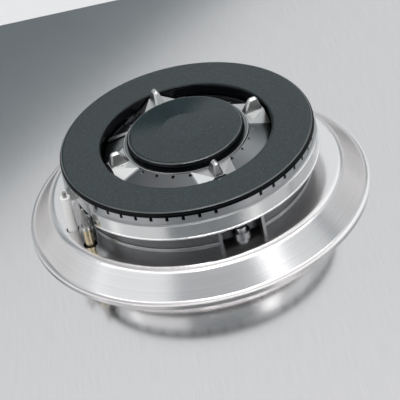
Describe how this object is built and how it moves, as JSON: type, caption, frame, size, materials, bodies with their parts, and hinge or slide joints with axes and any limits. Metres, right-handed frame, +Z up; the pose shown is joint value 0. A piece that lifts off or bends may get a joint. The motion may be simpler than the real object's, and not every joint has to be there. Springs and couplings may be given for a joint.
{
  "type": "built-in gas hob",
  "caption": "Built-in gas hob: a steel plate with a large triple-ring burner on a raised ring, igniter, flame sensor, push-and-turn knob, tray and worktop clamps.",
  "frame": {"origin": "centre of the worktop cut-out, on the worktop's upper face, where the rim seal sits", "axes": "+X to the right of someone facing the knob, +Y to the back, +Z up"},
  "size_m": [0.3, 0.52, 0.1043],
  "materials": {
    "satin_steel": "satin, fine grain",
    "polished_steel": "polished pressing",
    "cast_aluminium": "fine cast and machined",
    "polished_crown": "machined bright",
    "enamel": "matt speckled vitreous enamel",
    "white_ceramic": "unglazed",
    "steel_pin": "plain",
    "bright_collar": "bright",
    "brass": "turned",
    "zinc_steel": "zinc plated",
    "tray_steel": "galvanised sheet",
    "black_rubber": "matt",
    "grey_seal": "matt foam",
    "black_plastic": "fine texture",
    "white_plastic": "moulded",
    "silicone_lead": "smooth",
    "grey_lead": "smooth",
    "copper": "drawn tube",
    "pipe_aluminium": "drawn tube"
  },
  "bodies": {
    "hob": {"hob_top": "satin_steel", "seal_strip": "grey_seal", "burner_plinth": "polished_steel", "burner_body": "cast_aluminium", "body_screws": "zinc_steel", "burner_cup": "cast_aluminium", "injector_elbow": "brass", "injector": "brass", "burner_pipe": "pipe_aluminium", "pipe_nuts": "brass", "tap_body": "brass", "tap_plate": "zinc_steel", "tap_screws": "zinc_steel", "magnet_unit": "zinc_steel", "ignition_switch": "black_plastic", "knob_seal": "black_rubber", "gas_rail": "zinc_steel", "rail_clips": "zinc_steel", "inlet_union": "brass", "union_nut": "brass", "electrode_ceramic": "white_ceramic", "electrode_pin": "steel_pin", "electrode_clip": "zinc_steel", "thermocouple_stem": "brass", "thermocouple_collar": "bright_collar", "thermocouple_tip": "steel_pin", "thermocouple_nut": "brass", "spark_generator": "white_plastic", "terminal_block": "white_plastic", "cable_gland": "black_plastic", "gland_nut": "black_plastic", "ignition_lead": "silicone_lead", "thermocouple_lead": "copper", "switch_lead": "grey_lead", "supply_lead": "grey_lead", "bottom_tray": "tray_steel", "tray_posts": "zinc_steel", "tray_screws": "zinc_steel", "clamp_screws": "zinc_steel"},
    "crown": {"burner_crown": "polished_crown"},
    "outer_cap": {"outer_cap": "enamel"},
    "inner_cap": {"inner_cap": "enamel"},
    "plug": {"tap_plug": "brass"},
    "knob": {"knob": "black_plastic", "tap_spindle": "steel_pin"},
    "clamp_front_left": {"clamp_front_left": "zinc_steel"},
    "clamp_front_right": {"clamp_front_right": "zinc_steel"},
    "clamp_back_left": {"clamp_back_left": "zinc_steel"},
    "clamp_back_right": {"clamp_back_right": "zinc_steel"}
  },
  "joints": [
    {"name": "knob_turn", "type": "hinge", "parent": "hob", "child": "plug", "pos_m": [0, -0.19, 0], "axis": [0, 0, 1], "range_deg": [0, 210]},
    {"name": "knob_push", "type": "slide", "parent": "plug", "child": "knob", "axis": [0, 0, -1], "range_m": [0, 0.0035], "stiffness_N_per_m": 900, "springref_m": -0.003},
    {"name": "crown_lift", "type": "slide", "parent": "hob", "child": "crown", "axis": [0, 0, 1], "range_m": [0, 0.06]},
    {"name": "outer_cap_lift", "type": "slide", "parent": "crown", "child": "outer_cap", "axis": [0, 0, 1], "range_m": [0, 0.04]},
    {"name": "inner_cap_lift", "type": "slide", "parent": "crown", "child": "inner_cap", "axis": [0, 0, 1], "range_m": [0, 0.04]},
    {"name": "clamp_front_left_swing", "type": "hinge", "parent": "hob", "child": "clamp_front_left", "pos_m": [-0.1295, -0.15, -0.0345], "axis": [0, 0, 1], "range_deg": [0, 90]},
    {"name": "clamp_front_right_swing", "type": "hinge", "parent": "hob", "child": "clamp_front_right", "pos_m": [0.1295, -0.15, -0.0345], "axis": [0, 0, -1], "range_deg": [0, 90]},
    {"name": "clamp_back_left_swing", "type": "hinge", "parent": "hob", "child": "clamp_back_left", "pos_m": [-0.1295, 0.15, -0.0345], "axis": [0, 0, -1], "range_deg": [0, 90]},
    {"name": "clamp_back_right_swing", "type": "hinge", "parent": "hob", "child": "clamp_back_right", "pos_m": [0.1295, 0.15, -0.0345], "axis": [0, 0, 1], "range_deg": [0, 90]}
  ]
}
